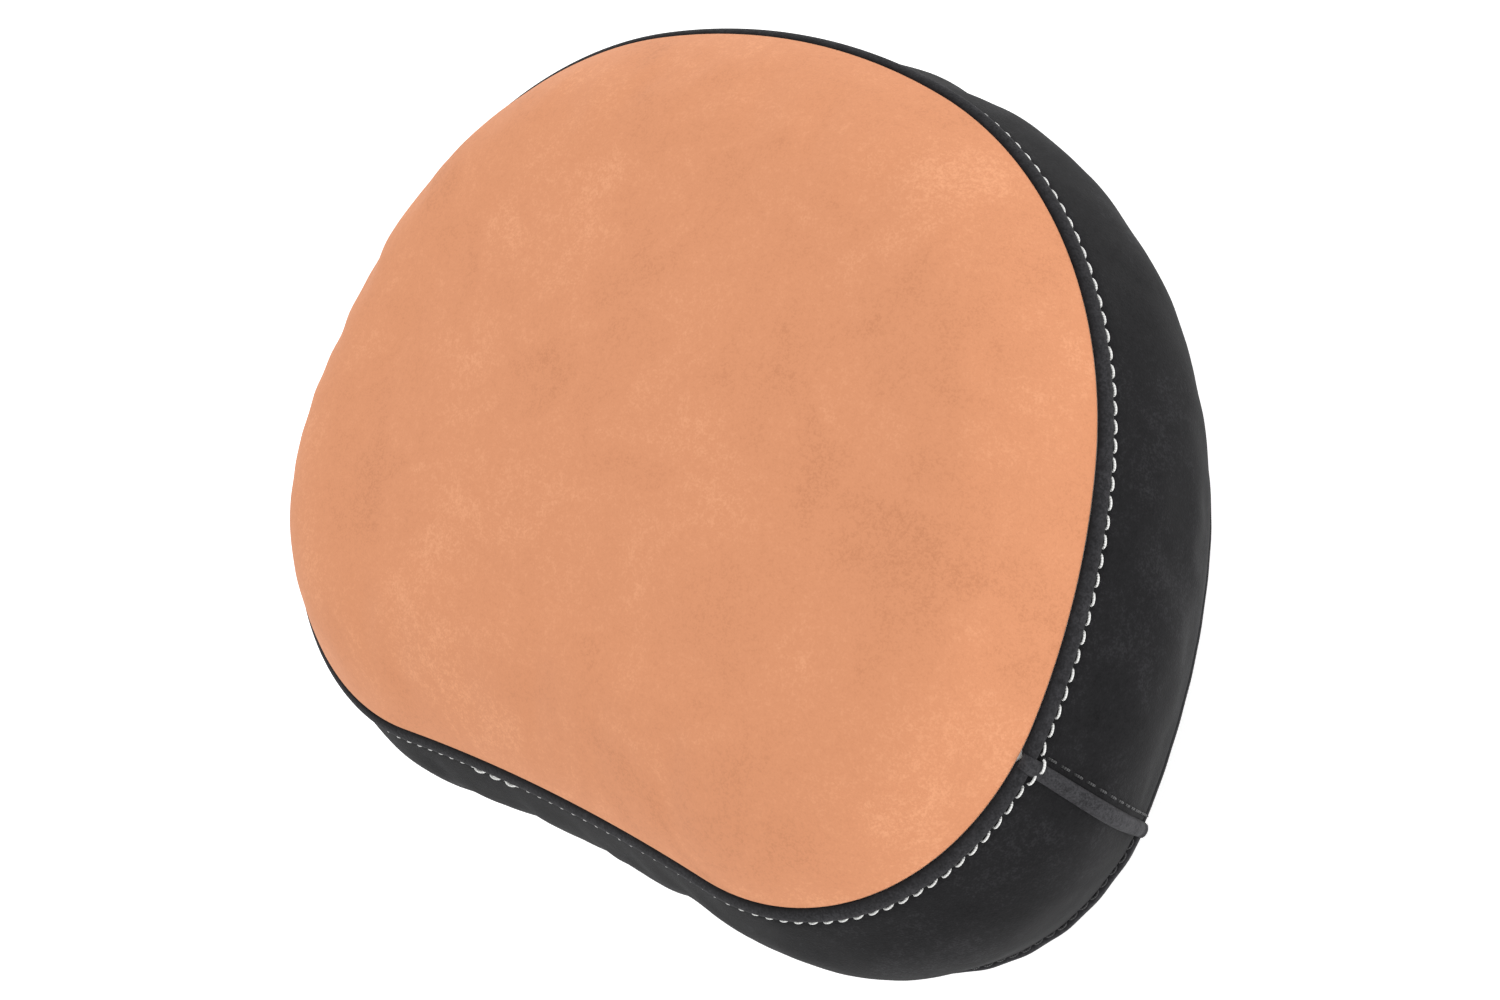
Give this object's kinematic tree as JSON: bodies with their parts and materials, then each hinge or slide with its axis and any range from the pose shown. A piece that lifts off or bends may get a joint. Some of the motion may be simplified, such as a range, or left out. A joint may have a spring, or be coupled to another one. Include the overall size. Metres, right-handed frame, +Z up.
{
  "type": "drum throne seat",
  "caption": "Padded suede drum seat with a crowned D-shaped top, a stitched side band and a split hub underneath that clamps onto a round post.",
  "frame": {"origin": "on the post's axis, at the mouth of the socket", "axes": "+Z up along the post, +Y towards the rounded back, +X across the seat; the hollow front edge is at -Y"},
  "size_m": [0.4524, 0.3563, 0.2021],
  "materials": {
    "tan_suede": "napped suede, matt, mottled where the nap is brushed both ways",
    "black_suede": "napped suede, matt",
    "fleece": "bonded polyester wadding",
    "soft_foam": "open-cell foam",
    "firm_foam": "rebonded foam",
    "plywood": "raw birch plywood",
    "dust_cloth": "black non-woven cloth",
    "staple_wire": "zinc-plated wire",
    "zinc_steel": "zinc plating",
    "painted_casting": "black powder coat on a casting",
    "nylon": "natural nylon",
    "chromed_steel": "chrome plating",
    "black_rubber": "matt moulded rubber"
  },
  "bodies": {
    "seat": {"top_panel": "tan_suede", "front_band": "black_suede", "rear_band": "black_suede", "fleece_wrap": "fleece", "comfort_foam": "soft_foam", "support_foam": "firm_foam", "base_board": "plywood", "edge_skirt": "black_suede", "skirt_staples": "staple_wire", "dust_cover": "dust_cloth", "dust_cover_staples": "staple_wire", "tee_nuts": "zinc_steel", "hub_casting": "painted_casting", "hub_bolts": "zinc_steel", "hub_spring_washers": "zinc_steel", "hub_flat_washers": "zinc_steel", "post_bush": "nylon", "clamp_nut": "zinc_steel"},
    "clamp_carrier": {"clamp_washer": "zinc_steel"},
    "clamp_screw": {"clamp_bolt": "chromed_steel", "clamp_handle": "chromed_steel", "handle_ends": "black_rubber"}
  },
  "joints": [
    {"name": "clamp_travel", "type": "slide", "parent": "seat", "child": "clamp_carrier", "axis": [1, 0, 0], "range_m": [0, 0.00406]},
    {"name": "clamp_turn", "type": "hinge", "parent": "clamp_carrier", "child": "clamp_screw", "pos_m": [0.025, 0.03305, 0.016], "axis": [1, 0, 0], "range_deg": [0, 1170]}
  ],
  "couplings": [
    {"joint": "clamp_turn", "follows": "clamp_travel", "rad_per_m": 5026.5}
  ]
}
